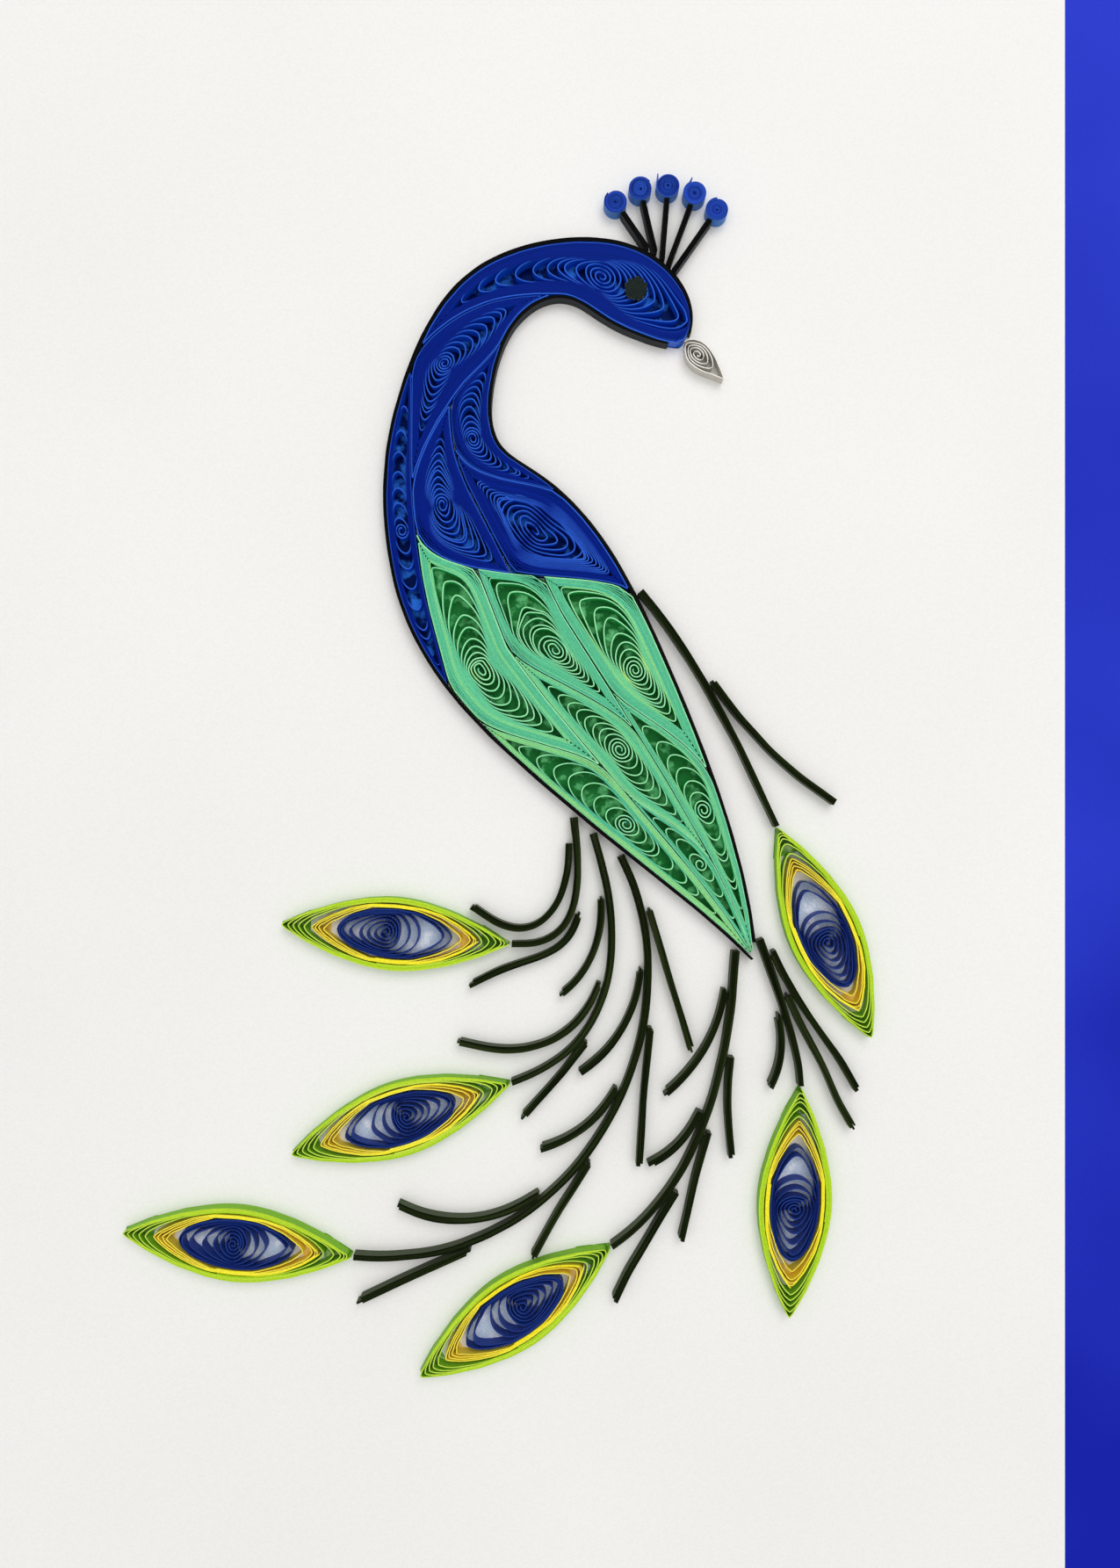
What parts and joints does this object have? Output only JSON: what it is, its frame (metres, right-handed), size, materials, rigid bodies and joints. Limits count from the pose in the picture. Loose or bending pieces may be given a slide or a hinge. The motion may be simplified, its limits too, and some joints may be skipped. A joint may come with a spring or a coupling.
{
  "type": "quilled paper picture",
  "caption": "Quilled paper peacock: shaped coils and stems of coloured paper strips stood on edge on a white card over a blue mount board.",
  "frame": {"origin": "middle of the mount board's back, on the surface that the picture lies on", "axes": "+X to the picture's right, +Y to its top, +Z out of its face"},
  "size_m": [0.24, 0.327, 0.0051],
  "materials": {
    "mount_board_blue": "satin",
    "card_white": "smooth",
    "paper_black": "matt",
    "paper_blue": "satin",
    "paper_crest_blue": "satin",
    "paper_green": "matt",
    "paper_beak": "matt",
    "paper_pupil": "matt",
    "paper_lime": "matt",
    "paper_yellow": "matt",
    "paper_navy": "satin",
    "paper_stem": "matt"
  },
  "bodies": {
    "root": {"beak_coil": "paper_beak", "blue_coil_1": "paper_blue", "blue_coil_2": "paper_blue", "blue_coil_3": "paper_blue", "blue_coil_4": "paper_blue", "blue_coil_5": "paper_blue", "blue_coil_6": "paper_blue", "crest_coil_1": "paper_crest_blue", "crest_coil_2": "paper_crest_blue", "crest_coil_3": "paper_crest_blue", "crest_coil_4": "paper_crest_blue", "crest_coil_5": "paper_crest_blue", "crest_stems": "paper_black", "edge_strip_back": "paper_black", "edge_strip_belly": "paper_black", "green_coil_1": "paper_green", "green_coil_2": "paper_green", "green_coil_3": "paper_green", "green_coil_4": "paper_green", "green_coil_5": "paper_green", "green_coil_6": "paper_green", "green_coil_7": "paper_green", "mount_board": "mount_board_blue", "plume_1_barbs": "paper_stem", "plume_1_lime": "paper_lime", "plume_1_navy": "paper_navy", "plume_1_stem": "paper_stem", "plume_1_yellow": "paper_yellow", "plume_2_barbs": "paper_stem", "plume_2_lime": "paper_lime", "plume_2_navy": "paper_navy", "plume_2_stem": "paper_stem", "plume_2_yellow": "paper_yellow", "plume_3_barbs": "paper_stem", "plume_3_lime": "paper_lime", "plume_3_navy": "paper_navy", "plume_3_stem": "paper_stem", "plume_3_yellow": "paper_yellow", "plume_4_barbs": "paper_stem", "plume_4_lime": "paper_lime", "plume_4_navy": "paper_navy", "plume_4_stem": "paper_stem", "plume_4_yellow": "paper_yellow", "plume_5_barbs": "paper_stem", "plume_5_lime": "paper_lime", "plume_5_navy": "paper_navy", "plume_5_stem": "paper_stem", "plume_5_yellow": "paper_yellow", "plume_6_barbs": "paper_stem", "plume_6_lime": "paper_lime", "plume_6_navy": "paper_navy", "plume_6_stem": "paper_stem", "plume_6_yellow": "paper_yellow", "pupil": "paper_pupil", "white_card": "card_white"}
  },
  "joints": []
}
